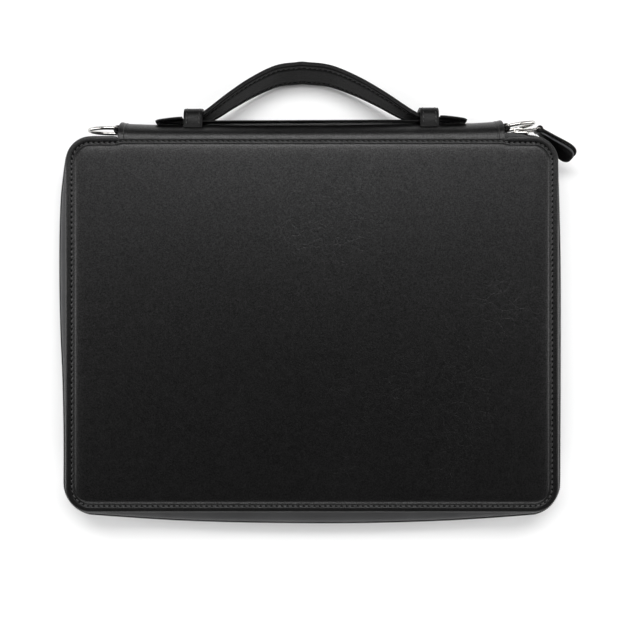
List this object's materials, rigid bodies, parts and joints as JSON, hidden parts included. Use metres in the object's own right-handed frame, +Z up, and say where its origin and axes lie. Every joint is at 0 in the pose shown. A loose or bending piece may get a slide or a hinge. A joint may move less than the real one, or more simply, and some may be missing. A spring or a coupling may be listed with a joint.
{
  "type": "leather document case",
  "caption": "Zip-round leather document case with a strap handle on its spine, D-rings at the spine's ends and a leather zip pull, lying closed on its back cover.",
  "frame": {"origin": "centre of the back cover's flat panel, on which the case lies", "axes": "+X along the spine to the zip slider's end, +Y towards the handle, +Z up from the back cover to the front cover"},
  "size_m": [0.3751, 0.3342, 0.036],
  "materials": {
    "cover_leather": "smooth black calf leather, satin, fine grain",
    "strap_leather": "smooth black strap leather, satin, painted edges",
    "tape_cloth": "woven black zip tape, matt",
    "coil_nylon": "black nylon coil",
    "nickel": "polished nickel"
  },
  "bodies": {
    "case": {"front_board": "cover_leather", "back_board": "cover_leather", "spine_wrap": "cover_leather", "zip_tape_front": "tape_cloth", "zip_tape_back": "tape_cloth", "zip_chain": "coil_nylon", "zip_slider": "nickel", "ring_tab_left": "strap_leather", "ring_tab_right": "strap_leather", "handle_strap": "strap_leather", "handle_tail_left": "strap_leather", "handle_tail_right": "strap_leather", "keeper_left": "strap_leather", "keeper_right": "strap_leather"},
    "ring_left": {"d_ring_left": "nickel"},
    "ring_right": {"d_ring_right": "nickel"},
    "pull": {"zip_pull_link": "nickel", "zip_pull_tab": "strap_leather"}
  },
  "joints": [
    {"name": "ring_left_swing", "type": "hinge", "parent": "case", "child": "ring_left", "pos_m": [-0.1402, 0.14045, 0.018], "axis": [0, 0, 1], "range_deg": [-105, 0]},
    {"name": "ring_right_swing", "type": "hinge", "parent": "case", "child": "ring_right", "pos_m": [0.1402, 0.1419, 0.018], "axis": [0, 0, 1], "range_deg": [0, 95]},
    {"name": "pull_swing", "type": "hinge", "parent": "case", "child": "pull", "pos_m": [0.1505, 0.14, 0.018], "axis": [0, 0, 1], "range_deg": [-1.5, 9.5]}
  ]
}
